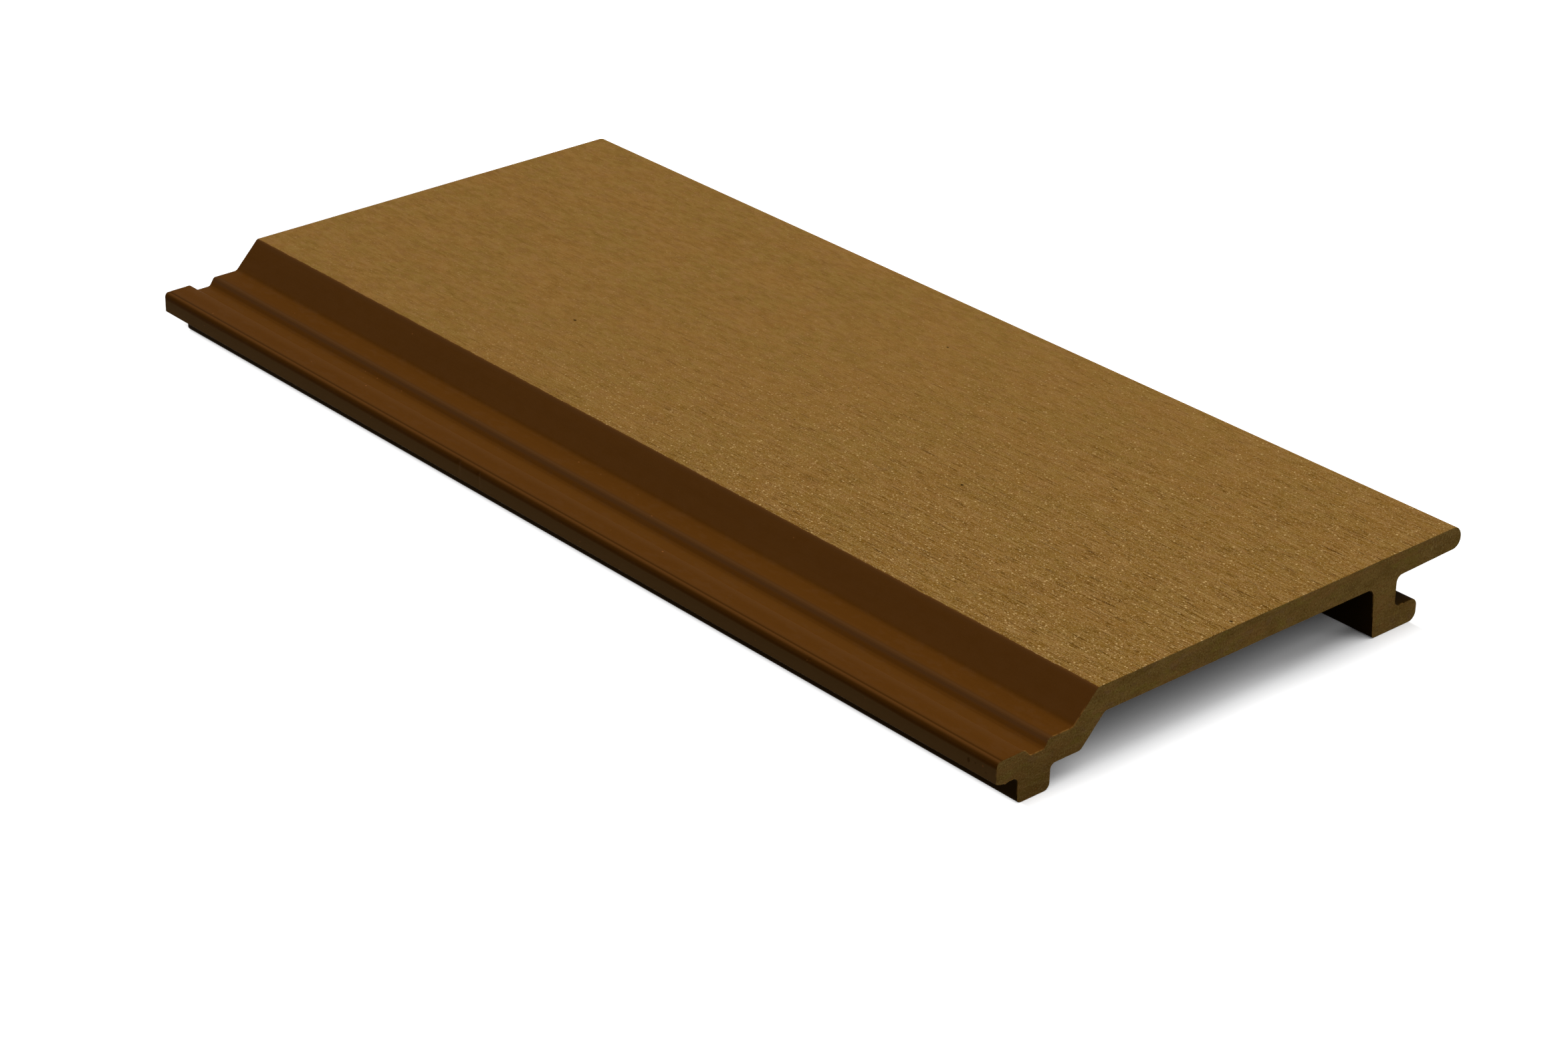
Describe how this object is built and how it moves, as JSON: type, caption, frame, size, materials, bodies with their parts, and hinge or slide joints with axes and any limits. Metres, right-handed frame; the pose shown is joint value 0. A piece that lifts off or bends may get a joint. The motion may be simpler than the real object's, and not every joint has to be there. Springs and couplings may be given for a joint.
{
  "type": "composite cladding board",
  "caption": "Short length of wood-plastic wall cladding board with a bevelled interlocking tongue, a slotted nose edge and two feet.",
  "frame": {"origin": "middle of the board's footprint, on the wall plane that its two feet rest on", "axes": "+X from the tongue edge across to the nose edge, +Y along the extrusion, +Z out of the visible face"},
  "size_m": [0.156, 0.325, 0.021],
  "materials": {
    "cladding_board": "matte"
  },
  "bodies": {
    "root": {"cladding_board": "cladding_board"}
  },
  "joints": []
}
